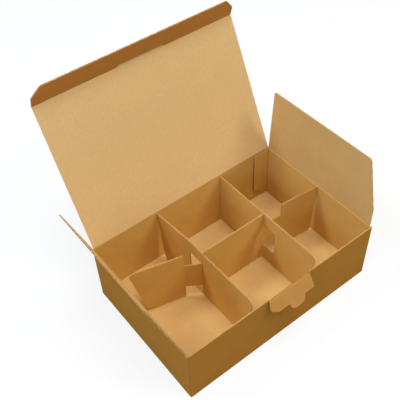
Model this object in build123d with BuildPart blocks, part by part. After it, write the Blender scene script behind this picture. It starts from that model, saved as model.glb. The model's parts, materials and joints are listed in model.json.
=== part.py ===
from build123d import *
from math import cos, radians, sin
import os

# Ornament storage box of corrugated cardboard, standing open.
# Lengths are in millimetres. The origin is the middle of the tray's underside, +X runs along
# the long side, +Y points to the wall that carries the lid, and +Z is up.

# Board
board = 1.6             # thickness of the corrugated board
crease_gap = 0.3        # play between two panels that turn on one crease
trim_radius = 1.0       # rounding of small cut corners

# Tray
box_length = 306.0
box_width = 204.0
box_height = 96.0       # front and back walls
floor_layers = 2        # floor panel, and the flaps glued under it
floor_fold_radius = 1.2
floor_seam_width = 1.5
floor_seam_share = 0.4  # where two glued flaps meet under the floor, of the width from the front
glue_flap_width = 28.0
glue_flap_lift = 20.0   # how much higher its lower edge is at the free end
glue_flap_toe = 2.0     # clear of the floor in the corner

# Lid and its tuck flap
lid_open = 115.4        # degrees from closed, as the box stands
tuck_play = 0.5         # between the closed tuck flap and the front wall
tuck_reach = 30.0
tuck_fold = 42.0        # degrees from flat with the lid, as the box stands
tuck_side = 14.0        # straight part of the tuck flap's ends
tuck_taper = 13.0
tuck_radius = 6.0
slit_play = 0.6         # round the lock tab where it goes through the slit
slit_lip = 1.4          # how far the lid's edge runs past the crease, over the slit

# Dust flaps
dust_reach = 106.0
dust_front_inset = 4.6
dust_back_inset = 2.3
dust_shoulder = 29.0    # where the front edge starts to slant
dust_front_taper = 18.0
dust_back_taper = 6.4
dust_radius = 3.0
left_dust_open = 108.5  # degrees from closed
right_dust_open = 90.0

# Lock tab
tab_left = -30.0        # ends of its crease
tab_right = 36.5
tab_flare = 2.0         # wider at its free edge, on each side
tab_shoulder = 21.2     # reach of the shoulders
tab_chamfer = 10.0      # at the left shoulder, along the crease
tab_chamfer_rise = 7.0
tongue_centre = 8.9
tongue_width = 24.5
tongue_reach = 10.2     # past the shoulders
tongue_radius = 8.5
tongue_root_radius = 1.5
tab_open = 245.0        # degrees from closed, as the box stands

# Divider insert
insert_play = 0.6       # tops of the dividers under the dust flaps
slot_play = 0.3         # on each side of a board in its slot
crossing_y = 8.0
left_divider_x = -46.0
right_divider_x = 60.5
divider_front_y = -90.5
wall_play = 0.3         # between a divider's end and the wall
divider_radius = 10.0
neck_low = 27.0
neck_high = 72.0
window_low = 30.0
window_radius = 2.0

# Left cross divider
left_window = 26.0      # behind the long divider
left_bend_y = 35.0
left_back_x = -50.5
left_front_rake = 4.0
left_back_narrow = 6.5  # how far the back edge has drawn in at mid height
left_back_waist = 26.0
left_back_foot = 6.1    # further in again at the floor

# Right cross divider
right_window = 24.6     # in front of the long divider
right_front_rake = 11.0
right_back_rake = 1.0

# Long divider
neck_crease_x = -67.0   # left end of the slanted neck
neck_crease_y = 20.0
left_end_x = -140.0
left_end_y = 39.0
left_end_rake = 18.6    # the left end's lower corner stands further in
left_end_radius = 7.0
left_foot_lift = 5.0
neck_foot_lift = 2.5
middle_left_x = -42.5   # full-height edge beside the left cross divider
right_neck_length = 28.5
right_end_y = -1.5
right_end_rake = 6.0
right_foot_lift = 3.0
right_foot_radius = 5.0
shoulder_radius = 3.0

# Sizes that follow
half_board = board / 2
half_length = box_length / 2
half_width = box_width / 2
inner_half_length = half_length - board
inner_half_width = half_width - board
floor_top = floor_layers * board
side_top = box_height - board - crease_gap
crease_rise = crease_gap + half_board
crease_step = crease_gap + board
lid_axis = Vector(0, half_width - half_board, box_height + crease_rise)
lid_half_length = inner_half_length - crease_gap
lid_reach = lid_axis.Y + inner_half_width - tuck_play - half_board
dust_axis_x = half_length - half_board
dust_axis_z = side_top + crease_rise
tab_axis = Vector(0, -half_width - crease_rise, side_top + crease_rise)
insert_top = side_top - insert_play
slot_half = half_board + slot_play

along_x = Vector(1, 0, 0)
along_y = Vector(0, 1, 0)
up = Vector(0, 0, 1)


def outline(plane, corners):
    """Face on a plane, from its corners as (across, up, corner radius)."""
    with BuildSketch(plane) as face:
        with BuildLine():
            FilletPolyline(
                [(across, rise) for across, rise, _ in corners],
                radius=[radius for _, _, radius in corners],
                close=True,
            )
        make_face()
    return face.sketch


def bead_end(start, direction):
    """Disc that becomes the rounded edge of a board when it is pushed along a crease."""
    with BuildSketch(Plane(origin=start, z_dir=direction)) as disc:
        Circle(half_board)
    return disc.sketch


def upright(start, end):
    """Vertical plane through two plan points, with its x running from the first to the second."""
    run = Vector(*end) - Vector(*start)
    return Plane(origin=Vector(*start), x_dir=run, z_dir=run.cross(up))


def length_between(start, end):
    return (Vector(*end) - Vector(*start)).length


def panel_plane(pivot, crease, reach):
    """Plane with its x along the crease and its y along the panel, away from the crease."""
    return Plane(origin=pivot, x_dir=crease, z_dir=crease.cross(reach))


# Tray: floor, four walls and the glue flap, folded from one blank
with BuildPart() as tray:
    with BuildSketch():
        RectangleRounded(box_length, box_width, board)
    extrude(amount=box_height)
    fillet(tray.faces().sort_by(Axis.Z)[0].edges(), floor_fold_radius)
    with BuildSketch(Plane.XY.offset(floor_top)):
        Rectangle(2 * inner_half_length, 2 * inner_half_width)
    extrude(amount=box_height, mode=Mode.SUBTRACT)

    # The side walls end in the creases of the dust flaps
    with BuildSketch(Plane.XY.offset(side_top - half_board)):
        Rectangle(2 * box_length, 2 * inner_half_width)
    extrude(amount=box_height, mode=Mode.SUBTRACT)
    for side in (-1, 1):
        bead = Vector(side * dust_axis_x, -inner_half_width, side_top - half_board)
        extrude(bead_end(bead, along_y), amount=2 * inner_half_width)

    # The back wall ends in the crease of the lid
    with BuildSketch(Plane.XY.offset(box_height - half_board)):
        with Locations((0, half_width)):
            Rectangle(2 * inner_half_length, 2 * board)
    extrude(amount=box_height, mode=Mode.SUBTRACT)
    bead = Vector(-inner_half_length, lid_axis.Y, box_height - half_board)
    extrude(bead_end(bead, along_x), amount=2 * inner_half_length)

    # The front wall is lower where the lock tab folds over it
    notch_left = tab_left - tab_flare
    notch_right = tab_right + tab_flare
    with BuildSketch(Plane.XY.offset(side_top - half_board)):
        with Locations(((notch_left + notch_right) / 2, -half_width)):
            Rectangle(notch_right - notch_left, 2 * board)
    extrude(amount=box_height, mode=Mode.SUBTRACT)
    bead = Vector(notch_left, half_board - half_width, side_top - half_board)
    extrude(bead_end(bead, along_x), amount=notch_right - notch_left)

    # Glue flap from the right wall, on the inside of the back wall
    flap_free_end = inner_half_length - glue_flap_width
    flap_corners = [
        (flap_free_end, floor_top + glue_flap_toe + glue_flap_lift, trim_radius),
        (flap_free_end, side_top, trim_radius),
        (inner_half_length, side_top, 0),
        (inner_half_length, floor_top + glue_flap_toe, 0),
    ]
    flap_plane = Plane(origin=along_y * inner_half_width, x_dir=along_x, z_dir=-along_y)
    extrude(outline(flap_plane, flap_corners), amount=board)

    # Seam under the floor, where two glued flaps meet
    with BuildSketch():
        with Locations((0, box_width * floor_seam_share - half_width)):
            Rectangle(2 * inner_half_length, floor_seam_width)
    extrude(amount=board, mode=Mode.SUBTRACT)
tray.part.label = "tray"

# Lid panel, creased to the back wall and standing open
lid_direction = Vector(0, -cos(radians(lid_open)), sin(radians(lid_open)))
lid_end = lid_axis + lid_direction * lid_reach
slit_left = tab_left - slit_play - tab_flare / 2
slit_right = tab_right + slit_play + tab_flare / 2
with BuildPart() as lid:
    lid_edge = lid_reach - crease_step
    lid_corners = [
        (-lid_half_length, 0, 0),
        (lid_half_length, 0, 0),
        (lid_half_length, lid_edge, 0),
        (slit_right, lid_edge, 0),
        (slit_right, lid_reach + slit_lip, trim_radius),
        (slit_left, lid_reach + slit_lip, trim_radius),
        (slit_left, lid_edge, 0),
        (-lid_half_length, lid_edge, 0),
    ]
    extrude(outline(panel_plane(lid_axis, along_x, lid_direction), lid_corners), amount=half_board, both=True)
    far_bead = lid_axis + lid_direction * lid_edge
    for centre in (lid_axis, far_bead):
        bead = centre - along_x * lid_half_length
        extrude(bead_end(bead, along_x), amount=2 * lid_half_length)
lid.part.label = "lid"

# Tuck flap, creased to the lid's free edge on both sides of the slit
tuck_angle = radians(lid_open - tuck_fold)
tuck_direction = Vector(0, -cos(tuck_angle), sin(tuck_angle))
slit_depth = lid_axis.Z - side_top - crease_gap + slit_play
with BuildPart() as lid_tuck_flap:
    tuck_corners = [
        (-lid_half_length, 0, 0),
        (slit_left, 0, 0),
        (slit_left, slit_depth, trim_radius),
        (slit_right, slit_depth, trim_radius),
        (slit_right, 0, 0),
        (lid_half_length, 0, 0),
        (lid_half_length, tuck_side, tuck_radius),
        (lid_half_length - tuck_taper, tuck_reach, tuck_radius),
        (tuck_taper - lid_half_length, tuck_reach, tuck_radius),
        (-lid_half_length, tuck_side, tuck_radius),
    ]
    extrude(outline(panel_plane(lid_end, along_x, tuck_direction), tuck_corners), amount=half_board, both=True)
    for start, end in ((-lid_half_length, slit_left), (slit_right, lid_half_length)):
        extrude(bead_end(lid_end + along_x * start, along_x), amount=end - start)
lid_tuck_flap.part.label = "lid_tuck_flap"

# Dust flaps: one outline, creased to the left and the right wall
dust_front = dust_front_inset - half_width
dust_back = half_width - dust_back_inset
dust_corners = [
    (dust_front, 0, 0),
    (dust_front, dust_shoulder, dust_radius),
    (dust_front + dust_front_taper, dust_reach, dust_radius),
    (dust_back - dust_back_taper, dust_reach, dust_radius),
    (dust_back, 0, 0),
]

left_dust_axis = Vector(-dust_axis_x, 0, dust_axis_z)
left_dust_angle = radians(left_dust_open)
left_dust_direction = Vector(cos(left_dust_angle), 0, sin(left_dust_angle))
with BuildPart() as left_dust_flap:
    left_dust_plane = panel_plane(left_dust_axis, along_y, left_dust_direction)
    extrude(outline(left_dust_plane, dust_corners), amount=half_board, both=True)
    extrude(bead_end(left_dust_axis + along_y * dust_front, along_y), amount=dust_back - dust_front)
left_dust_flap.part.label = "left_dust_flap"

right_dust_axis = Vector(dust_axis_x, 0, dust_axis_z)
right_dust_angle = radians(right_dust_open)
right_dust_direction = Vector(-cos(right_dust_angle), 0, sin(right_dust_angle))
with BuildPart() as right_dust_flap:
    right_dust_plane = panel_plane(right_dust_axis, along_y, right_dust_direction)
    extrude(outline(right_dust_plane, dust_corners), amount=half_board, both=True)
    extrude(bead_end(right_dust_axis + along_y * dust_front, along_y), amount=dust_back - dust_front)
right_dust_flap.part.label = "right_dust_flap"

# Lock tab: two shoulders and a rounded tongue, hanging outside the front wall
tab_angle = radians(tab_open)
tab_direction = Vector(0, cos(tab_angle), sin(tab_angle))
tab_tip = tab_shoulder + tongue_reach
with BuildPart() as front_lock_tab:
    tab_corners = [
        (tab_left, 0, 0),
        (tab_left - tab_flare, tab_shoulder - tab_chamfer_rise, tab_flare),
        (tab_left - tab_flare + tab_chamfer, tab_shoulder, tab_flare),
        (tongue_centre - tongue_width / 2, tab_shoulder, tongue_root_radius),
        (tongue_centre - tongue_width / 2, tab_tip, tongue_radius),
        (tongue_centre + tongue_width / 2, tab_tip, tongue_radius),
        (tongue_centre + tongue_width / 2, tab_shoulder, tongue_root_radius),
        (tab_right + tab_flare, tab_shoulder, tab_flare),
        (tab_right, 0, 0),
    ]
    extrude(outline(panel_plane(tab_axis, along_x, tab_direction), tab_corners), amount=half_board, both=True)
    extrude(bead_end(tab_axis + along_x * tab_left, along_x), amount=tab_right - tab_left)
front_lock_tab.part.label = "front_lock_tab"

# Left cross divider: stands on the floor, bent behind its window
left_front = (left_divider_x, divider_front_y)
left_bend = (left_divider_x, left_bend_y)
left_back = (left_back_x, inner_half_width - wall_play)
left_slot = crossing_y - divider_front_y
with BuildPart() as left_cross_divider:
    front_plane = upright(left_front, left_bend)
    bend_at = length_between(left_front, left_bend)
    front_corners = [
        (left_front_rake, floor_top, trim_radius),
        (0, insert_top, divider_radius),
        (bend_at, insert_top, 0),
        (bend_at, floor_top, 0),
    ]
    extrude(outline(front_plane, front_corners), amount=half_board, both=True)
    back_length = length_between(left_bend, left_back)
    back_corners = [
        (0, floor_top, 0),
        (0, insert_top, 0),
        (back_length, insert_top, trim_radius),
        (back_length - left_back_narrow, left_back_waist, divider_radius),
        (back_length - left_back_narrow - left_back_foot, floor_top, divider_radius / 2),
    ]
    extrude(outline(upright(left_bend, left_back), back_corners), amount=half_board, both=True)
    extrude(bead_end(Vector(*left_bend, floor_top), up), amount=insert_top - floor_top)

    # Window and slot for the long divider's neck
    window_corners = [
        (left_slot - slot_half, window_low, 0),
        (left_slot - slot_half, neck_high + slot_play, 0),
        (left_slot + left_window, neck_high + slot_play, window_radius),
        (left_slot + left_window, window_low, window_radius),
    ]
    extrude(outline(front_plane, window_corners), amount=board, both=True, mode=Mode.SUBTRACT)
    slot_corners = [
        (left_slot - slot_half, 0, 0),
        (left_slot - slot_half, neck_high, 0),
        (left_slot + slot_half, neck_high, 0),
        (left_slot + slot_half, 0, 0),
    ]
    extrude(outline(front_plane, slot_corners), amount=board, both=True, mode=Mode.SUBTRACT)
left_cross_divider.part.label = "left_cross_divider"

# Right cross divider: hangs with the top of its window on the long divider's neck
right_front = (right_divider_x, divider_front_y)
right_back = (right_divider_x, inner_half_width - wall_play)
right_slot = crossing_y - divider_front_y
with BuildPart() as right_cross_divider:
    right_plane = upright(right_front, right_back)
    right_length = length_between(right_front, right_back)
    right_foot = floor_top + board
    right_corners = [
        (right_front_rake, right_foot, trim_radius),
        (0, insert_top, divider_radius),
        (right_length, insert_top, trim_radius),
        (right_length - right_back_rake, right_foot, shoulder_radius),
    ]
    extrude(outline(right_plane, right_corners), amount=half_board, both=True)
    window_corners = [
        (right_slot + slot_half, window_low, 0),
        (right_slot + slot_half, neck_high, 0),
        (right_slot - right_window, neck_high, window_radius),
        (right_slot - right_window, window_low, window_radius),
    ]
    extrude(outline(right_plane, window_corners), amount=board, both=True, mode=Mode.SUBTRACT)
    slot_corners = [
        (right_slot - slot_half, 0, 0),
        (right_slot - slot_half, neck_high, 0),
        (right_slot + slot_half, neck_high, 0),
        (right_slot + slot_half, 0, 0),
    ]
    extrude(outline(right_plane, slot_corners), amount=board, both=True, mode=Mode.SUBTRACT)
right_cross_divider.part.label = "right_cross_divider"

# Long divider: left face, slanted neck, middle face and right face, folded from one strip
left_end = (left_end_x, left_end_y)
neck_crease = (neck_crease_x, neck_crease_y)
left_crease = (left_divider_x - slot_half, crossing_y)
right_crease = (right_divider_x + slot_half, crossing_y)
right_end_run = inner_half_length - wall_play - right_crease[0]
right_end = (right_crease[0] + right_end_run, right_end_y)
with BuildPart() as long_divider:
    # Left face, clear of the left wall
    left_face = length_between(neck_crease, left_end)
    left_corners = [
        (0, floor_top + neck_foot_lift, shoulder_radius),
        (0, insert_top, shoulder_radius),
        (left_face, insert_top, left_end_radius),
        (left_face - left_end_rake, floor_top + left_foot_lift, left_end_radius),
    ]
    extrude(outline(upright(neck_crease, left_end), left_corners), amount=half_board, both=True)

    # Slanted neck, through the left cross divider
    neck_corners = [
        (0, neck_low, 0),
        (0, neck_high, 0),
        (length_between(left_crease, neck_crease), neck_high, 0),
        (length_between(left_crease, neck_crease), neck_low, 0),
    ]
    extrude(outline(upright(left_crease, neck_crease), neck_corners), amount=half_board, both=True)

    # Middle face, standing on the floor, with a neck end in each cross divider
    middle_left = middle_left_x - left_crease[0]
    middle_right = right_divider_x - slot_half - left_crease[0]
    middle_end = length_between(left_crease, right_crease)
    middle_corners = [
        (0, neck_low, 0),
        (0, neck_high, 0),
        (middle_left, neck_high, 0),
        (middle_left, insert_top, shoulder_radius),
        (middle_right, insert_top, trim_radius),
        (middle_right, neck_high, 0),
        (middle_end, neck_high, 0),
        (middle_end, neck_low, 0),
        (middle_right, neck_low, 0),
        (middle_right, floor_top, trim_radius),
        (middle_left, floor_top, trim_radius),
        (middle_left, neck_low, 0),
    ]
    extrude(outline(upright(left_crease, right_crease), middle_corners), amount=half_board, both=True)

    # Right face, up to the right wall
    right_face = length_between(right_crease, right_end)
    right_corners = [
        (0, neck_low, 0),
        (0, neck_high, 0),
        (right_neck_length, neck_high, trim_radius),
        (right_neck_length, insert_top, shoulder_radius),
        (right_face, insert_top, 0),
        (right_face - right_end_rake, floor_top + right_foot_lift, right_foot_radius),
        (right_neck_length, floor_top + neck_foot_lift, shoulder_radius),
        (right_neck_length, neck_low, trim_radius),
    ]
    extrude(outline(upright(right_crease, right_end), right_corners), amount=half_board, both=True)
    for crease in (neck_crease, left_crease, right_crease):
        extrude(bead_end(Vector(*crease, neck_low), up), amount=neck_high - neck_low)
long_divider.part.label = "long_divider"

os.makedirs("parts", exist_ok=True)
pieces = (
    tray,
    lid,
    lid_tuck_flap,
    left_dust_flap,
    right_dust_flap,
    front_lock_tab,
    left_cross_divider,
    right_cross_divider,
    long_divider,
)
for piece in pieces:
    export_step(piece.part, f"parts/{piece.part.label}.step")
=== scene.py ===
import itertools
import json
import math

import bmesh
import bpy
import numpy as np
from mathutils import Matrix, Vector


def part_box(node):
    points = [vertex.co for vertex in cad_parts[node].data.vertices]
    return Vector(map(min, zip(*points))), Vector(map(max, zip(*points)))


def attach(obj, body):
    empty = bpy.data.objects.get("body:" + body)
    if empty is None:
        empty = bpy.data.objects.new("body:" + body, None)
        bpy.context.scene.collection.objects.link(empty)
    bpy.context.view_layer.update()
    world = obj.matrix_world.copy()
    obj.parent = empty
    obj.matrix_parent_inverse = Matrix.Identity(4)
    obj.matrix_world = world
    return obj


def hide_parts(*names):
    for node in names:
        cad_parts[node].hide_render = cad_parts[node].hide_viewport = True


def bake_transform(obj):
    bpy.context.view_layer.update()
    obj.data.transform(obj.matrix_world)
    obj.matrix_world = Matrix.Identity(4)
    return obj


# Looks of the ornament storage box. Every panel of board is rebuilt as what it is, two liners with a
# fluted medium between them, from the outline of its CAD node. Lengths are in metres.

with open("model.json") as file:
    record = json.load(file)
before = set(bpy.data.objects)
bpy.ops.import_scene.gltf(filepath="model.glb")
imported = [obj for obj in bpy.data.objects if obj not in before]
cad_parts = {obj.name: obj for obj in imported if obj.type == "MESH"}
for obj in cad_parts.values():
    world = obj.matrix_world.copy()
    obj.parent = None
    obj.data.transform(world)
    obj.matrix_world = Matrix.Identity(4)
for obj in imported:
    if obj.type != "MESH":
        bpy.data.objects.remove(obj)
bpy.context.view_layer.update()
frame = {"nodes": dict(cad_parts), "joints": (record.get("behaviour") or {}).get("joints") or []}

MM = 0.001
UP = Vector((0, 0, 1))

# Board
LINER = 0.24 * MM              # thickness of each paper liner
MEDIUM = 0.18 * MM             # thickness of the fluted paper
FLUTE_PITCH = 3.2 * MM
FLUTE_STEPS = 6                # sections in one flute
GRID = 14 * MM                 # cuts in the liners, which let them bow
FOLD_REACH = 1.8 * MM          # rounded length on each side of a fold
FOLD_SHARE = 0.45              # most of a short panel that the rounding of its fold takes
CUT_SLOT = 3                   # material slot of the paper's cut edges
PAPER_FLUTES = 128             # whole flutes from one board's stretch of paper to the next one's
PAPER_STEP = 310 * MM          # and the shift along the flutes

# Creases
CREASE_THICKNESS = 1.42 * MM   # board pressed flat where it is scored
CREASE_LEAD = 1.4 * MM         # length hidden inside the board on each side
CREASE_STEPS = 10
CREASE_PLAY = 0.3 * MM         # between the two rounded edges that meet at a crease

# Tolerances for reading the panels
THIN_TRIANGLE = 1e-12
SAME_FACE = 0.9                # least cosine between two triangles of one flat face
FACE_DEPTH = 0.002 * MM
WELD = 2e-6
TOUCHING = 0.05 * MM           # closer than this counts as on the crease
PANEL_SIDE = 20 * MM           # a smaller face is a board's edge
UPRIGHT = 0.01                 # most that an upright face's normal rises
SAME_PANEL = 0.9995            # least cosine between the two faces of one panel
PANEL_DEPTH = 0.3 * MM

# Camera, fitted to the photograph's outline
CAMERA_PLACE = Vector((-361.6, -426.6, 769.8)) * MM
CAMERA_AIM = Vector((-3.24, 65.04, 117.08)) * MM
CAMERA_ROLL = math.radians(-2.81)
CAMERA_LENS = 60.35
CAMERA_SENSOR = 36.0
CAMERA_RANGE = 20.0

joints = {joint["name"]: joint for joint in frame["joints"]}
divider_low, divider_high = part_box("right_cross_divider")
BOARD = divider_high.x - divider_low.x
HALF = BOARD / 2
BEAD_GAP = BOARD + CREASE_PLAY


# Reading flat panels from the frame

def face_groups(node):
    """Flat faces of a node: normal, offset, area and triangles, with the largest first."""
    mesh = frame["nodes"][node].data
    mesh.calc_loop_triangles()
    points = np.array([vertex.co for vertex in mesh.vertices])
    corners = points[np.array([triangle.vertices for triangle in mesh.loop_triangles])]
    cross = np.cross(corners[:, 1] - corners[:, 0], corners[:, 2] - corners[:, 0])
    size = np.linalg.norm(cross, axis=1)
    keep = size > THIN_TRIANGLE
    corners, cross, size = corners[keep], cross[keep], size[keep]
    normals = cross / size[:, None]
    offsets = np.einsum("ij,ij->i", normals, corners[:, 0])
    left = np.argsort(-size)
    found = []
    while len(left):
        first = left[0]
        away = abs(corners[left] @ normals[first] - offsets[first]).max(axis=1)
        same = (normals[left] @ normals[first] > SAME_FACE) & (away < FACE_DEPTH)
        members, left = left[same], left[~same]
        area = size[members].sum() / 2
        found.append((area, Vector(normals[first]), float(offsets[first]), corners[members]))
    return sorted(found, key=lambda group: -group[0])


def outline_edges(corners):
    """Edges of a set of triangles that only one of them uses, as pairs of points."""
    mesh = bmesh.new()
    for triangle in corners:
        mesh.faces.new([mesh.verts.new(point) for point in triangle])
    bmesh.ops.remove_doubles(mesh, verts=mesh.verts[:], dist=WELD)
    edges = []
    for edge in mesh.edges:
        if len(edge.link_loops) == 1:
            start = edge.link_loops[0].vert
            edges.append((start.co.copy(), edge.other_vert(start).co.copy()))
    mesh.free()
    return edges


class Panel:
    """A flat panel of board: the place of its middle plane and its outline in that plane."""

    def __init__(self, group, origin, along):
        _, normal, offset, corners = group
        self.normal = normal
        self.along = along.normalized()
        self.rise = normal.cross(self.along)
        self.origin = origin - normal * (origin.dot(normal) - (offset - HALF))
        self.edges = [
            tuple(self.local(point) for point in edge) for edge in outline_edges(corners)
        ]

    def local(self, point):
        away = Vector(point) - self.origin
        return (away.dot(self.along), away.dot(self.rise))

    def loop(self):
        """The outline's edges joined into closed loops of points; the widest one is the panel's."""
        follow = {tuple(np.round(a, 7)): tuple(np.round(b, 7)) for a, b in self.edges}
        loops = []
        while follow:
            start, point = follow.popitem()
            loop = [start]
            while point != start:
                loop.append(point)
                point = follow.pop(point)
            loops.append(loop)
        return max(loops, key=lambda loop: np.ptp(np.array(loop), axis=0).prod())


def inner_side(joint):
    """Direction that a panel's inner face looks in as it stands; closed, it looks down."""
    row = joints[joint]
    turn = Matrix.Rotation(-math.radians(row["range_deg"][0]), 3, Vector(row["axis"]))
    return turn @ -UP


def hinged_panel(node, joint, inner):
    """The panel that turns on a crease: u runs along the crease, v away from it, w to its inner side."""
    pivot = Vector(joints[joint]["pos_m"])
    crease = Vector(joints[joint]["axis"])
    group = next(found for found in face_groups(node) if found[1].dot(inner) > 0.5)
    panel = Panel(group, pivot, crease)
    middle = np.mean([end[1] for edge in panel.edges for end in edge])
    if middle < 0:
        panel = Panel(group, pivot, -crease)
    return panel


def upright_panels(node):
    """The upright panels of a folded divider, from its left or front end to the other."""
    panels = []
    for group in face_groups(node):
        area, normal, offset, corners = group
        if area < PANEL_SIDE ** 2 or abs(normal.z) > UPRIGHT:
            continue
        same = [
            other for other in panels
            if abs(other.normal.dot(normal)) > SAME_PANEL
            and abs(other.origin.dot(normal) - (offset - HALF)) < PANEL_DEPTH
        ]
        if same:
            continue
        along = UP.cross(normal)
        forward = along.x + along.y if abs(along.x) > 0.5 else along.y
        if forward < 0:
            along = -along
        centre = Vector(corners.reshape(-1, 3).mean(axis=0))
        panel = Panel(group, Vector((centre.x, centre.y, 0)), along)
        if panel.rise.z < 0:
            panel.rise = -panel.rise
            panel.edges = [tuple((u, -v) for u, v in reversed(edge)) for edge in panel.edges]
        panels.append(panel)
    order = Vector((1, 0, 0)) if len(panels) > 2 else Vector((0, 1, 0))
    return sorted(panels, key=lambda panel: panel.origin.dot(order))


# Folded sheets

class Sheet:
    """Blank outline of a sheet and where each point of it stands once it is folded."""

    def __init__(self, faces, place, folds=(), bowed=False):
        self.faces = faces
        self.place = place
        self.folds = folds
        self.bowed = bowed


def flat_sheet(panel, bow=None):
    """A panel that stays flat, or bows a little along its normal."""

    def place(u, v, w):
        lift = bow(u, v) if bow else 0
        return panel.origin + panel.along * u + panel.rise * v + panel.normal * (w + lift)

    return Sheet([panel.loop()], place, bowed=bow is not None)


def path_place(corners):
    """Folds a blank round upright creases that stand at the plan points of a path."""
    points = [Vector((x, y, 0)) for x, y in corners]
    runs = [b - a for a, b in zip(points, points[1:])]
    lengths = [run.length for run in runs]
    directions = [run.normalized() for run in runs]
    starts = [sum(lengths[:index]) for index in range(len(lengths))]

    def place(u, v, w):
        index = sum(1 for start in starts[1:] if u >= start)
        position = points[index] + directions[index] * (u - starts[index])
        heading = directions[index]
        for fold in range(1, len(starts)):
            shorter = min(lengths[fold - 1], lengths[fold])
            reach = min(FOLD_REACH, FOLD_SHARE * shorter)
            near = u - starts[fold]
            if abs(near) < reach:
                share = (near + reach) / (2 * reach)
                before = points[fold] - directions[fold - 1] * reach
                after = points[fold] + directions[fold] * reach
                position = (
                    before * (1 - share) ** 2
                    + points[fold] * (2 * share * (1 - share))
                    + after * share ** 2
                )
                heading = directions[fold - 1] * (1 - share) + directions[fold] * share
                heading.normalize()
        return position + heading.cross(UP) * w + UP * v

    return place, starts[1:]


def plan_crossing(first, second):
    """Plan point where the middle planes of two upright panels meet."""
    matrix = np.array([first.normal[:2], second.normal[:2]])
    offsets = np.array([first.origin.dot(first.normal), second.origin.dot(second.normal)])
    return tuple(np.linalg.solve(matrix, offsets))


def folded_sheet(node):
    """An upright divider, flattened to its blank and folded again at its creases."""
    panels = upright_panels(node)
    creases = [plan_crossing(a, b) for a, b in zip(panels, panels[1:])]
    first, last = panels[0], panels[-1]
    first_u = min(end[0] for edge in first.edges for end in edge)
    last_u = max(end[0] for edge in last.edges for end in edge)
    start = first.origin + first.along * first_u
    end = last.origin + last.along * last_u
    path = [(start.x, start.y), *creases, (end.x, end.y)]
    place, folds = path_place(path)
    faces = []
    run_start = 0.0
    for panel, a, b in zip(panels, path, path[1:]):
        length = math.dist(a, b)
        shift = run_start - (Vector((*a, 0)) - panel.origin).dot(panel.along)
        limits = (run_start, run_start + length)
        loop = []
        for u, v in panel.loop():
            u += shift
            for limit in limits:
                if limit in folds and abs(u - limit) < HALF:
                    u = limit
            loop.append((u, v))
        faces.append(loop)
        run_start += length
    return Sheet(faces, place, folds)


# Board meshes

def cut(mesh, value, axis, geometry=None):
    """Cuts a flat mesh along u = value or v = value."""
    normal = (1, 0, 0) if axis == 0 else (0, 1, 0)
    point = (value, 0, 0) if axis == 0 else (0, value, 0)
    if geometry is None:
        geometry = mesh.verts[:] + mesh.edges[:] + mesh.faces[:]
    done = bmesh.ops.bisect_plane(mesh, geom=geometry, dist=1e-7, plane_co=point, plane_no=normal)
    return done["geom"]


def layer(sheet, stations, rises, low, high, slot, paper_shift):
    """One sheet of paper of the board, from offset low to offset high, as a closed mesh."""
    mesh = bmesh.new()
    for loop in sheet.faces:
        mesh.faces.new([mesh.verts.new((u, v, 0)) for u, v in loop])
    for fold in sheet.folds:
        heights = {round(v, 6) for loop in sheet.faces for u, v in loop if abs(u - fold) < 1e-6}
        for height in sorted(heights):
            cut(mesh, height, 1)
    bmesh.ops.remove_doubles(mesh, verts=mesh.verts[:], dist=1e-6)
    for height in rises:
        cut(mesh, height, 1)
    rest = mesh.verts[:] + mesh.edges[:] + mesh.faces[:]
    for station in stations:
        done = cut(mesh, station, 0, rest)
        faces = {
            item for item in done
            if isinstance(item, bmesh.types.BMFace) and max(v.co.x for v in item.verts) > station + 1e-7
        }
        if not faces:
            continue
        edges = {edge for face in faces for edge in face.edges}
        verts = {vert for face in faces for vert in face.verts}
        rest = [*verts, *edges, *faces]
    uv = mesh.loops.layers.uv.new("blank")
    done = bmesh.ops.extrude_face_region(mesh, geom=mesh.faces[:])
    raised = [item for item in done["geom"] if isinstance(item, bmesh.types.BMVert)]
    for vert in raised:
        vert.co.z = 1
    for face in mesh.faces:
        heights = {corner.vert.co.z for corner in face.loops}
        face.material_index = CUT_SLOT if len(heights) > 1 else slot
        for corner in face.loops:
            corner[uv].uv = (corner.vert.co.x + paper_shift[0], corner.vert.co.y + paper_shift[1])
    for vert in mesh.verts:
        u, v, top = vert.co
        offset = high(u) if top > 0.5 else low(u)
        vert.co = sheet.place(u, v, offset)
    bmesh.ops.recalc_face_normals(mesh, faces=mesh.faces[:])
    return mesh


def spread(low, high, step):
    """Evenly spaced values between two limits, without the limits."""
    count = max(1, math.ceil((high - low) / step))
    return [low + (high - low) * index / count for index in range(1, count)]


def fold_stations(folds):
    """Extra cuts that round the folds."""
    return [fold + FOLD_REACH * share / 3 for fold in folds for share in range(-3, 4)]


def mesh_object(name, mesh, materials, smooth_angle=math.radians(35)):
    data = bpy.data.meshes.new(name)
    mesh.to_mesh(data)
    mesh.free()
    for material in materials:
        data.materials.append(material)
    data.shade_smooth()
    data.set_sharp_from_angle(angle=smooth_angle)
    made = bpy.data.objects.new(name, data)
    bpy.context.scene.collection.objects.link(made)
    return made


board_numbers = itertools.count()


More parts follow.
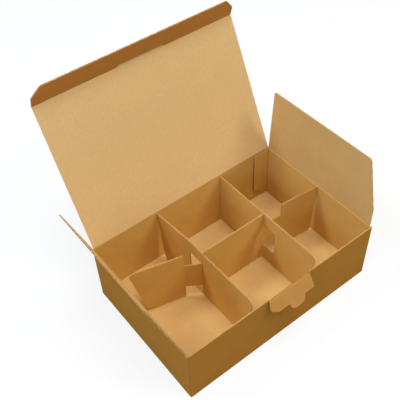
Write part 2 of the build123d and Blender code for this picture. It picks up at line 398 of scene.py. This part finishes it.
def board(name, sheet, low_side, high_side):
    """A panel of corrugated board: two liners and the fluted medium between them."""
    us = [u for loop in sheet.faces for u, _ in loop]
    vs = [v for loop in sheet.faces for _, v in loop]
    rises = spread(min(vs), max(vs), GRID)
    wide = sorted(spread(min(us), max(us), GRID) + fold_stations(sheet.folds))
    fine = sorted(spread(min(us), max(us), FLUTE_PITCH / FLUTE_STEPS) + fold_stations(sheet.folds))
    depth = HALF - LINER - MEDIUM / 2
    number = next(board_numbers)
    paper_shift = (number * PAPER_FLUTES * FLUTE_PITCH, number * PAPER_STEP)

    def wave(u):
        return depth * math.sin(2 * math.pi * u / FLUTE_PITCH)

    whole = bmesh.new()
    medium_rises = rises if sheet.bowed else ()
    layers = (
        (wide, rises, lambda u: -HALF, lambda u: LINER - HALF),
        (wide, rises, lambda u: HALF - LINER, lambda u: HALF),
        (fine, medium_rises, lambda u: wave(u) - MEDIUM / 2, lambda u: wave(u) + MEDIUM / 2),
    )
    for slot, (stations, heights, low, high) in enumerate(layers):
        paper = layer(sheet, stations, heights, low, high, slot, paper_shift)
        data = bpy.data.meshes.new("paper")
        paper.to_mesh(data)
        paper.free()
        whole.from_mesh(data)
        bpy.data.meshes.remove(data)
    return mesh_object(name, whole, (low_side, high_side, medium, cut_paper))


# Materials

CREASE_SHADE_WIDTH = 1.2 * MM         # half width of the painted shade line in a crease that is folded inwards

# Pattern of the paper: features per millimetre, and how much finer they are along u and v
CLOUD_SCALE = 0.03
MOTTLE_SCALE, MOTTLE_STRETCH = 0.30, (1.0, 0.6, 1)
FIBRE_SCALE, FIBRE_STRETCH = 1.0, (2.4, 0.25, 1)
FLECK_SCALE, FLECK_STRETCH = 1.6, (1.0, 0.45, 1)
GRAIN_SCALE = 3.0

# Tones of the pattern as shares of the paper's colour, and how strongly two of them show
MOTTLE_TONE = 0.72
FIBRE_TONE, FIBRE_SHARE = 1.14, 0.4
FLECK_TONE = 0.45
LINE_TONE = 0.45
CREASE_SHADE_TONE, CREASE_SHADE_SHARE = 0.22, 0.8

# Surface of the paper, heights in millimetres
GRAIN_HEIGHT = 0.06
FIBRE_HEIGHT = 0.05
BUMP_STRENGTH = 0.6
ROUGHNESS = (0.80, 0.95)
GLOSS = 0.15


def srgb(red, green, blue):
    """Linear colour from 0 to 255 display values."""
    shares = [value / 255 for value in (red, green, blue)]
    return tuple(s / 12.92 if s <= 0.04045 else ((s + 0.055) / 1.055) ** 2.4 for s in shares) + (1,)


class Nodes:
    """Short calls for building a material's node tree."""

    def __init__(self, material):
        self.tree = material.node_tree
        self.tree.nodes.clear()

    def add(self, kind, links=None, **values):
        node = self.tree.nodes.new(kind)
        for key, value in values.items():
            setattr(node, key, value)
        for key, value in (links or {}).items():
            if isinstance(value, bpy.types.NodeSocket):
                self.tree.links.new(value, node.inputs[key])
            else:
                node.inputs[key].default_value = value
        return node

    def ramp(self, value, stops):
        node = self.add("ShaderNodeValToRGB", {0: value})
        elements = node.color_ramp.elements
        while len(elements) < len(stops):
            elements.new(0.5)
        for element, (position, level) in zip(elements, stops):
            element.position = position
            element.color = (level, level, level, 1)
        return node.outputs[0]

    def mix(self, share, first, second, blend="MIX"):
        node = self.add("ShaderNodeMix", {0: share}, data_type="RGBA", blend_type=blend)
        for socket, value in ((6, first), (7, second)):
            if isinstance(value, bpy.types.NodeSocket):
                self.tree.links.new(value, node.inputs[socket])
            else:
                node.inputs[socket].default_value = value
        return node.outputs[2]

    def math(self, operation, *values):
        return self.add("ShaderNodeMath", dict(enumerate(values)), operation=operation).outputs[0]

    def noise(self, vector, scale, detail=2.0, rough=0.5):
        links = {"Vector": vector, "Scale": scale, "Detail": detail, "Roughness": rough}
        return self.add("ShaderNodeTexNoise", links).outputs[0]

    def scaled(self, vector, scale, shift=(0, 0, 0)):
        links = {"Vector": vector, "Scale": scale, "Location": shift}
        return self.add("ShaderNodeMapping", links).outputs[0]


def shade_of(colour, factor):
    return tuple(part * factor for part in colour[:3]) + (1,)


def kraft(name, colour, cloud=0.03, fibre=0.18, fleck=0.22, line=0.05, line_depth=0.05, crease_shade_at=None):
    """Kraft paper: clouds, mottle, fibres, flecks, faint lines over the flutes, and a line of painted
    shade along an inward crease.
    """
    material = bpy.data.materials.new(name)
    material.use_nodes = True
    nodes = Nodes(material)
    blank = nodes.add("ShaderNodeUVMap", uv_map="blank").outputs[0]
    place = nodes.scaled(blank, (1 / MM, 1 / MM, 1 / MM))
    clouds = nodes.noise(place, CLOUD_SCALE, 3.0, 0.6)
    mottle = nodes.noise(nodes.scaled(place, MOTTLE_STRETCH), MOTTLE_SCALE, 4.0, 0.7)
    fibres = nodes.noise(nodes.scaled(place, FIBRE_STRETCH), FIBRE_SCALE, 4.0, 0.6)
    flecks = nodes.noise(nodes.scaled(place, FLECK_STRETCH), FLECK_SCALE, 2.0, 0.6)
    grain = nodes.noise(place, GRAIN_SCALE, 3.0, 0.65)
    across = nodes.add("ShaderNodeSeparateXYZ", {0: place}).outputs[0]
    turns = nodes.math("MULTIPLY", across, 2 * math.pi * MM / FLUTE_PITCH)
    flutes = nodes.math("MULTIPLY_ADD", nodes.math("SINE", turns), 0.5, 0.5)

    cloudy = nodes.ramp(clouds, ((0.38, 0), (0.62, 1)))
    mottled = nodes.ramp(mottle, ((0.35, 0), (0.65, fibre)))
    fibrous = nodes.ramp(fibres, ((0.45, 0), (0.75, FIBRE_SHARE)))
    flecked = nodes.ramp(flecks, ((0.62, 0), (0.72, fleck)))
    shade = nodes.mix(cloudy, shade_of(colour, 1 - cloud), shade_of(colour, 1 + cloud))
    shade = nodes.mix(mottled, shade, shade_of(colour, MOTTLE_TONE))
    shade = nodes.mix(fibrous, shade, shade_of(colour, FIBRE_TONE))
    shade = nodes.mix(flecked, shade, shade_of(colour, FLECK_TONE))
    height = nodes.math("MULTIPLY", grain, GRAIN_HEIGHT)
    height = nodes.math("ADD", height, nodes.math("MULTIPLY", fibres, FIBRE_HEIGHT))
    if line:
        shade = nodes.mix(nodes.math("MULTIPLY", flutes, line), shade, shade_of(colour, LINE_TONE))
        height = nodes.math("ADD", height, nodes.math("MULTIPLY", flutes, line_depth))
    # Painted shade: a dark line along the inward fold between the wall and the glue flap.
    if crease_shade_at:
        away = nodes.math("ABSOLUTE", nodes.math("SUBTRACT", across, crease_shade_at / MM))
        away = nodes.math("DIVIDE", away, CREASE_SHADE_WIDTH / MM)
        painted_crease_shade = nodes.ramp(away, ((0.3, CREASE_SHADE_SHARE), (1.0, 0)))
        shade = nodes.mix(painted_crease_shade, shade, shade_of(colour, CREASE_SHADE_TONE))

    links = {"Strength": BUMP_STRENGTH, "Distance": MM, "Height": height}
    bump = nodes.add("ShaderNodeBump", links).outputs[0]
    rough = nodes.ramp(grain, ((0.3, ROUGHNESS[0]), (0.7, ROUGHNESS[1])))
    links = {"Base Color": shade, "Roughness": rough, "Normal": bump, "Specular IOR Level": GLOSS}
    shader = nodes.add("ShaderNodeBsdfPrincipled", links)
    nodes.add("ShaderNodeOutputMaterial", {"Surface": shader.outputs[0]})
    return material


OUTER_COLOUR = srgb(179, 123, 40)
MEDIUM_COLOUR = srgb(224, 180, 116)
CUT_COLOUR = srgb(240, 194, 122)
LID_COLOUR = srgb(219, 180, 122)
# The tuck flap's inner side is the lid's paper; its darker colour is painted shade.
TUCK_PAINTED_SHADE_COLOUR = srgb(196, 134, 60)
FLAP_COLOUR = srgb(220, 181, 114)
# The lock tab's inner side is the box's inner paper; its darker colour is painted shade.
TAB_PAINTED_SHADE_COLOUR = srgb(195, 142, 73)
# Walls and dividers: paper more saturated than the lid's, partly their own tone and partly painted shade
# of the tray's inside.
WALL_COLOUR = srgb(217, 173, 92)
FLOOR_COLOUR = srgb(213, 173, 110)
DIVIDER_COLOUR = srgb(217, 173, 92)

outer_liner = kraft("outer_liner", OUTER_COLOUR)
medium = kraft("fluted_medium", MEDIUM_COLOUR, line=0.0)
cut_paper = kraft("cut_paper", CUT_COLOUR, fleck=0.35, line=0.0)
lid_liner = kraft("lid_inner_liner", LID_COLOUR, cloud=0.012, fibre=0.30, line=0.015, line_depth=0.02)
# Lid paper darkened by painted shade, for the tuck flap's inner side.
tuck_liner_painted_shade = kraft("tuck_inner_liner_painted_shade", TUCK_PAINTED_SHADE_COLOUR, cloud=0.02, line=0.015, line_depth=0.02)
flap_liner = kraft("flap_inner_liner", FLAP_COLOUR)
# Inner paper darkened by painted shade, for the lock tab.
tab_liner_painted_shade = kraft("tab_inner_liner_painted_shade", TAB_PAINTED_SHADE_COLOUR)
floor_liner = kraft("floor_inner_liner", FLOOR_COLOUR, line=0.015, line_depth=0.02)
divider_liner = kraft("divider_liner", DIVIDER_COLOUR)

# Paper pressed in the creases. The outer and flap crease papers are a tenth and a quarter lighter than
# their panels, and the tab's is a quarter darker, as painted shade on the tab's rounded crease.
outer_crease = kraft("outer_crease", shade_of(OUTER_COLOUR, 1.10), fibre=0.3, line=0.0)
lid_crease = kraft("lid_crease", LID_COLOUR, fibre=0.2, line=0.0)
flap_crease = kraft("flap_crease", shade_of(FLAP_COLOUR, 1.25), fibre=0.2, line=0.0)
# Painted shade: the tab's crease paper a quarter darker than the tab.
tab_crease_painted_shade = kraft("tab_crease_painted_shade", shade_of(TAB_PAINTED_SHADE_COLOUR, 0.75), fibre=0.2, line=0.0)


def place_piece(piece, body, slot, *nodes):
    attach(piece, body)
    if nodes:
        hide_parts(*nodes)
    return piece


# Tray

tray_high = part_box("tray")[1]
LENGTH_HALF = tray_high.x
WIDTH_HALF = tray_high.y
WALL_TOP = tray_high.z
SIDE_BEAD = joints["left_flap_hinge"]["pos_m"][2] - BEAD_GAP   # middle of a side wall's rounded top
BACK_BEAD = joints["lid_hinge"]["pos_m"][2] - BEAD_GAP
FLOOR_TOP = 2 * BOARD
BACK_END_INSET = 0.2 * MM      # the back wall's free end, in from the right wall's outer face
BASE_RADIUS = 1.2 * MM
BASE_MARGIN = 4 * MM           # flat ring inside the rounded edge
SEAM_WIDTH = 1.5 * MM
SEAM_SHARE = 0.4               # where the glued flaps meet, of the width from the front
FLOOR_PLAY = 0.25 * MM
CORNER_STEPS = 6
GLUE_FLAP_WIDTH = 28 * MM
GLUE_FLAP_LIFT = 20 * MM
GLUE_FLAP_TOE = 2 * MM
GLUE_FLAP_GAP = 1.2 * MM       # the flap's free edge stands off the back wall

tab_panel = hinged_panel("front_lock_tab", "lock_tab_hinge", inner_side("lock_tab_hinge"))
tab_pivot = Vector(joints["lock_tab_hinge"]["pos_m"])
tab_ends = [(tab_panel.origin + tab_panel.along * end[0]).x for edge in tab_panel.edges for end in edge]


def wall_path():
    """Plan corners of the walls and the glue flap, and how far along the strip each one is."""
    x = LENGTH_HALF - HALF
    y = WIDTH_HALF - HALF
    path = [
        (LENGTH_HALF - BACK_END_INSET, y),
        (-x, y),
        (-x, -y),
        (x, -y),
        (x, y - BOARD),
        (LENGTH_HALF - BOARD - GLUE_FLAP_WIDTH, y - BOARD - GLUE_FLAP_GAP),
    ]
    ends = [0.0]
    for a, b in zip(path, path[1:]):
        ends.append(ends[-1] + math.dist(a, b))
    return path, ends


def tray_walls():
    """Four walls and the glue flap, one strip folded round the tray's corners."""
    path, ends = wall_path()
    place, folds = path_place(path)
    front = ends[2] + LENGTH_HALF - HALF
    notch = (front + min(tab_ends), front + max(tab_ends))
    foot = BOARD
    top = [
        (ends[5], SIDE_BEAD), (ends[4], SIDE_BEAD),
        (ends[3] + HALF, SIDE_BEAD), (ends[3] + HALF, WALL_TOP),
        (notch[1], WALL_TOP), (notch[1], SIDE_BEAD), (notch[0], SIDE_BEAD), (notch[0], WALL_TOP),
        (ends[2] - HALF, WALL_TOP), (ends[2] - HALF, SIDE_BEAD),
        (ends[1] + HALF, SIDE_BEAD), (ends[1] + HALF, BACK_BEAD), (0, BACK_BEAD),
    ]
    outline = [
        (0, foot), (ends[4], foot), (ends[4], FLOOR_TOP + GLUE_FLAP_TOE),
        (ends[5], FLOOR_TOP + GLUE_FLAP_TOE + GLUE_FLAP_LIFT), *top,
    ]
    return Sheet([outline], place, folds)


# The wall paper, with a line of painted shade in the glue flap's inward corner fold.
wall_liner_and_corner_shade = kraft("wall_inner_liner_and_corner_shade", WALL_COLOUR, crease_shade_at=wall_path()[1][4])
walls = board("tray_walls", tray_walls(), wall_liner_and_corner_shade, outer_liner)
place_piece(walls, "box", "box_board", "tray")


def floor_panel():
    """Inner floor panel, a flat board with the flutes running from front to back."""
    x = LENGTH_HALF - BOARD - FLOOR_PLAY
    y = WIDTH_HALF - BOARD - FLOOR_PLAY

    def place(u, v, w):
        return Vector((u, v, FLOOR_TOP - HALF + w))

    return Sheet([[(-x, -y), (x, -y), (x, y), (-x, y)]], place)


floor = board("tray_floor", floor_panel(), outer_liner, floor_liner)
place_piece(floor, "box", "box_board")


def base_flap(name, front, back, rounded):
    """Glued flap under the floor: a flat panel whose outer edges curve up into the walls."""
    x = LENGTH_HALF
    mesh = bmesh.new()
    uv = mesh.loops.layers.uv.new("blank")
    profile = []
    for index in range(CORNER_STEPS + 1):
        angle = math.pi / 2 * index / CORNER_STEPS
        inset = BASE_RADIUS * (1 - math.sin(angle))
        profile.append((inset, BASE_RADIUS * (1 - math.cos(angle))))
    rings = []
    for inset, height in [(BASE_RADIUS + BASE_MARGIN, 0.0), *profile, (0.0, BOARD)]:
        corners = []
        front_edge = front + (inset if rounded == "front" else 0)
        back_edge = back - (inset if rounded == "back" else 0)
        radius = max(BOARD - inset, TOUCHING)
        for cx, cy, start, round_it in (
            (x - inset, back_edge, 0, rounded == "back"),
            (-x + inset, back_edge, 90, rounded == "back"),
            (-x + inset, front_edge, 180, rounded == "front"),
            (x - inset, front_edge, 270, rounded == "front"),
        ):
            for step in range(CORNER_STEPS + 1):
                angle = math.radians(start + 90 * step / CORNER_STEPS)
                if round_it:
                    px = cx - math.copysign(radius, cx) + radius * math.cos(angle)
                    py = cy - (radius if start < 180 else -radius) + radius * math.sin(angle)
                else:
                    px, py = cx, cy
                corners.append((px, py, height))
                if not round_it:
                    break
        rings.append([mesh.verts.new(point) for point in corners])
    for lower, upper in zip(rings, rings[1:]):
        for a, b, c, d in zip(lower, lower[1:] + lower[:1], upper[1:] + upper[:1], upper):
            mesh.faces.new((a, b, c, d))
    mesh.faces.new(rings[0])
    mesh.faces.new(rings[-1])
    for face in mesh.faces:
        for corner in face.loops:
            corner[uv].uv = (corner.vert.co.x, corner.vert.co.y + corner.vert.co.z)
    bmesh.ops.recalc_face_normals(mesh, faces=mesh.faces[:])
    piece = mesh_object(name, mesh, (outer_liner,))
    return place_piece(piece, "box", "box_board")


seam = 2 * WIDTH_HALF * SEAM_SHARE - WIDTH_HALF
base_flap("tray_base_front", -WIDTH_HALF, seam - SEAM_WIDTH / 2, "front")
base_flap("tray_base_back", seam + SEAM_WIDTH / 2, WIDTH_HALF, "back")


# Lid, flaps and lock tab

LID_BOW = 1.2 * MM
LIP_PLAY = 0.25 * MM           # between the ends of the lid's lip and of the tuck flap's notch
LIP_ZONE = 5 * MM              # margin at the lid's free edge that holds the lip's corners


def lid_bow(u, v):
    """The open lid bows back a little between its creases."""
    share = min(max(v / lid_length, 0), 1)
    return -LID_BOW * math.sin(math.pi * share) * math.cos(u / LENGTH_HALF * math.pi / 2)


def lid_sheet():
    """The bowed lid, its lip a little narrower than the notch in the tuck flap that it lies in."""
    sheet = flat_sheet(lid_panel, lid_bow)
    loop = sheet.faces[0]

    def on_lip(u, v):
        return v > lid_length - LIP_ZONE and abs(u) < LENGTH_HALF / 2

    lip = [u for u, v in loop if on_lip(u, v)]
    middle = (min(lip) + max(lip)) / 2
    sheet.faces = [[
        (u - math.copysign(LIP_PLAY, u - middle) if on_lip(u, v) else u, v) for u, v in loop
    ]]
    return sheet


lid_inner = inner_side("lid_hinge")
lid_panel = hinged_panel("lid", "lid_hinge", lid_inner)
lid_length = max(end[1] for edge in lid_panel.edges for end in edge)
tuck_panel = hinged_panel("lid_tuck_flap", "tuck_hinge", lid_inner)
left_panel = hinged_panel("left_dust_flap", "left_flap_hinge", inner_side("left_flap_hinge"))
right_panel = hinged_panel("right_dust_flap", "right_flap_hinge", inner_side("right_flap_hinge"))
turning_boards = (
    ("lid_board", lid_sheet(), lid_liner, "lid", "lid_board", "lid"),
    (
        "tuck_flap_board", flat_sheet(tuck_panel), tuck_liner_painted_shade,
        "tuck_flap", "lid_board", "lid_tuck_flap",
    ),
    (
        "left_dust_flap_board", flat_sheet(left_panel), flap_liner,
        "left_flap", "flap_board", "left_dust_flap",
    ),
    (
        "right_dust_flap_board", flat_sheet(right_panel), flap_liner,
        "right_flap", "flap_board", "right_dust_flap",
    ),
    ("lock_tab_board", flat_sheet(tab_panel), tab_liner_painted_shade, "lock_tab", "flap_board", "front_lock_tab"),
)
for name, sheet, liner, body, slot, node in turning_boards:
    place_piece(board(name, sheet, outer_liner, liner), body, slot, node)


# Creases that join the panels

def crease_strip(name, wall_end, wall_way, panel, flap_end, along, span, paper):
    """Pressed board that bends from the end of one panel into the start of the next."""
    flap_way = panel.rise
    facing = math.copysign(1, along.cross(flap_way).dot(panel.normal))
    tangent = (flap_end - wall_end).length * 1.1
    line = [wall_end - wall_way * CREASE_LEAD]
    ways = [wall_way]
    for index in range(CREASE_STEPS + 1):
        t = index / CREASE_STEPS
        line.append(
            wall_end * (2 * t ** 3 - 3 * t ** 2 + 1)
            + wall_way * tangent * (t ** 3 - 2 * t ** 2 + t)
            + flap_end * (3 * t ** 2 - 2 * t ** 3)
            + flap_way * tangent * (t ** 3 - t ** 2)
        )
        ways.append(
            (
                (flap_end - wall_end) * (6 * t - 6 * t ** 2)
                + wall_way * tangent * (3 * t ** 2 - 4 * t + 1)
                + flap_way * tangent * (3 * t ** 2 - 2 * t)
            ).normalized()
        )
    line.append(flap_end + flap_way * CREASE_LEAD)
    ways.append(flap_way)
    mesh = bmesh.new()
    uv = mesh.loops.layers.uv.new("blank")
    stations = [span[0], *spread(span[0], span[1], GRID), span[1]]
    grid = []
    for station in stations:
        inner, outer = [], []
        for point, way in zip(line, ways):
            side = along.cross(way).normalized() * (facing * CREASE_THICKNESS / 2)
            inner.append(mesh.verts.new(point + along * station + side))
            outer.append(mesh.verts.new(point + along * station - side))
        grid.append(inner + outer[::-1])
    for first, second in zip(grid, grid[1:]):
        corners = zip(first, first[1:] + first[:1], second[1:] + second[:1], second)
        for index, (a, b, c, d) in enumerate(corners):
            face = mesh.faces.new((a, b, c, d))
            face.material_index = 0 if index < len(line) - 1 else 1
    mesh.faces.new(grid[0])
    mesh.faces.new(grid[-1])
    for face in mesh.faces:
        for corner in face.loops:
            corner[uv].uv = (corner.vert.co.dot(along), corner.vert.co.dot(wall_way))
    bmesh.ops.recalc_face_normals(mesh, faces=mesh.faces[:])
    strip = mesh_object(name, mesh, (paper, outer_crease), math.radians(50))
    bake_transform(strip)
    return strip


def crease_corners(panel, along):
    """Corners of a panel on its crease, measured along a direction from the crease's middle."""
    way = panel.along.dot(along)
    return [way * end[0] for edge in panel.edges for end in edge if abs(end[1]) < TOUCHING]


def span_of(panel, along):
    corners = crease_corners(panel, along)
    return min(corners), max(corners)


X_WAY = Vector((1, 0, 0))
Y_WAY = Vector((0, 1, 0))

lid_pivot = Vector(joints["lid_hinge"]["pos_m"])
crease_strip(
    "lid_crease", Vector((0, lid_pivot.y, BACK_BEAD)), UP, lid_panel, lid_pivot,
    X_WAY, span_of(lid_panel, X_WAY), lid_crease,
)
for side, panel, body in (("left", left_panel, "left_flap"), ("right", right_panel, "right_flap")):
    pivot = Vector(joints[f"{side}_flap_hinge"]["pos_m"])
    crease_strip(
        f"{side}_dust_flap_crease", Vector((pivot.x, 0, SIDE_BEAD)), UP, panel, pivot,
        Y_WAY, span_of(panel, Y_WAY), flap_crease,
    )
tuck_pivot = Vector(joints["tuck_hinge"]["pos_m"])
tuck_us = sorted(round(u, 6) for u in crease_corners(tuck_panel, X_WAY))
slit_us = [u for u in tuck_us if abs(u) < LENGTH_HALF / 2]
lid_edge = tuck_pivot - lid_panel.rise * BEAD_GAP
for side, span in (("left", (tuck_us[0], slit_us[0])), ("right", (slit_us[-1], tuck_us[-1]))):
    crease_strip(
        f"tuck_crease_{side}", lid_edge, lid_panel.rise,
        tuck_panel, tuck_pivot, X_WAY, span, lid_crease,
    )
tab_wall = Vector((0, HALF - WIDTH_HALF, SIDE_BEAD))
crease_strip(
    "lock_tab_crease", tab_wall, UP, tab_panel, tab_pivot,
    X_WAY, span_of(tab_panel, X_WAY), tab_crease_painted_shade,
)


# Dividers

for node in ("left_cross_divider", "right_cross_divider", "long_divider"):
    piece = board(f"{node}_board", folded_sheet(node), divider_liner, divider_liner)
    place_piece(piece, "box", "divider_board", node)


# Stage, lights and camera

STAGE_REACH = 6.0
STAGE_DROP = 0.0005            # under the box
STAGE_GREY = (0.45, 0.45, 0.45, 1)   # what lights the box from below
STAGE_PALE = (0.9, 0.9, 0.9, 1)      # what the camera sees, with the box's shadow
STAGE_GLOW = 0.82
PURE_WHITE = (1, 1, 1, 1)


def seen_rays(nodes):
    """1 for the rays that show the background: camera, glossy and transmission rays."""
    rays = nodes.add("ShaderNodeLightPath")
    seen = nodes.math("MAXIMUM", rays.outputs["Is Camera Ray"], rays.outputs["Is Glossy Ray"])
    return nodes.math("MAXIMUM", seen, rays.outputs["Is Transmission Ray"])


def make_stage():
    mesh = bmesh.new()
    corners = ((-1, -1), (1, -1), (1, 1), (-1, 1))
    mesh.faces.new([mesh.verts.new((x * STAGE_REACH, y * STAGE_REACH, 0)) for x, y in corners])
    material = bpy.data.materials.new("studio_floor")
    material.use_nodes = True
    nodes = Nodes(material)
    diffuse = nodes.add("ShaderNodeBsdfDiffuse", {"Color": STAGE_GREY})
    pale = nodes.add("ShaderNodeBsdfDiffuse", {"Color": STAGE_PALE})
    glow = nodes.add("ShaderNodeEmission", {"Color": PURE_WHITE, "Strength": 1.0})
    both = nodes.add("ShaderNodeMixShader", {0: STAGE_GLOW, 1: pale.outputs[0], 2: glow.outputs[0]})
    links = {0: seen_rays(nodes), 1: diffuse.outputs[0], 2: both.outputs[0]}
    mixed = nodes.add("ShaderNodeMixShader", links)
    nodes.add("ShaderNodeOutputMaterial", {"Surface": mixed.outputs[0]})
    stage = mesh_object("studio_floor", mesh, (material,))
    stage.location.z = -STAGE_DROP


def make_world(strength):
    world = bpy.data.worlds.new("studio")
    bpy.context.scene.world = world
    world.use_nodes = True
    nodes = Nodes(world)
    room = nodes.add("ShaderNodeBackground", {"Color": PURE_WHITE, "Strength": strength})
    white = nodes.add("ShaderNodeBackground", {"Color": PURE_WHITE, "Strength": 1.0})
    links = {0: seen_rays(nodes), 1: room.outputs[0], 2: white.outputs[0]}
    mixed = nodes.add("ShaderNodeMixShader", links)
    nodes.add("ShaderNodeOutputWorld", {"Surface": mixed.outputs[0]})


def area_light(name, place, aim, size, power, colour):
    data = bpy.data.lights.new(name, "AREA")
    data.color = colour
    data.shape = "DISK"
    data.size = size
    data.energy = power
    light = bpy.data.objects.new(name, data)
    light.location = place
    light.rotation_euler = (Vector(aim) - Vector(place)).to_track_quat("-Z", "Y").to_euler()
    bpy.context.scene.collection.objects.link(light)


WORLD_STRENGTH = 0.02
LIGHT_AIM = Vector((0, 0, 0.1))
LIGHT_DISTANCE = 3.0
WHITE = (1.0, 1.0, 1.0)
COOL = (0.90, 0.97, 1.0)
SKY = (0.84, 0.99, 1.45)
WARM = (1.0, 0.95, 0.84)
# Name, azimuth and elevation in degrees, width in metres, watts, colour
LIGHTS = (
    ("top_light", 270, 80, 1.6, 58.0, WHITE),
    ("left_light", 190, 30, 1.2, 20.0, SKY),
    ("back_left_light", 140, 53, 0.7, 37.0, COOL),
    ("front_light", 262, 22, 1.6, 8.0, WARM),
    ("front_right_light", 310, 45, 1.2, 28.0, WARM),
    ("right_light", 10, 45, 1.4, 6.0, WHITE),
)
make_stage()
make_world(WORLD_STRENGTH)
for name, azimuth, elevation, size, power, colour in LIGHTS:
    turn, tilt = math.radians(azimuth), math.radians(elevation)
    way = Vector((math.cos(tilt) * math.cos(turn), math.cos(tilt) * math.sin(turn), math.sin(tilt)))
    area_light(name, LIGHT_AIM + way * LIGHT_DISTANCE, LIGHT_AIM, size, power, colour)


def make_camera():
    data = bpy.data.cameras.new("camera")
    data.lens = CAMERA_LENS
    data.sensor_width = CAMERA_SENSOR
    data.sensor_fit = "HORIZONTAL"
    data.clip_end = CAMERA_RANGE
    forward = (CAMERA_AIM - CAMERA_PLACE).normalized()
    level = forward.cross(UP).normalized()
    top = level.cross(forward)
    right = level * math.cos(CAMERA_ROLL) + top * math.sin(CAMERA_ROLL)
    up = right.cross(forward)
    matrix = Matrix((right, up, -forward)).transposed().to_4x4()
    matrix.translation = CAMERA_PLACE
    camera = bpy.data.objects.new("camera", data)
    camera.matrix_world = matrix
    bpy.context.scene.collection.objects.link(camera)
    bpy.context.scene.camera = camera


make_camera()
bpy.context.scene.view_settings.view_transform = "Standard"
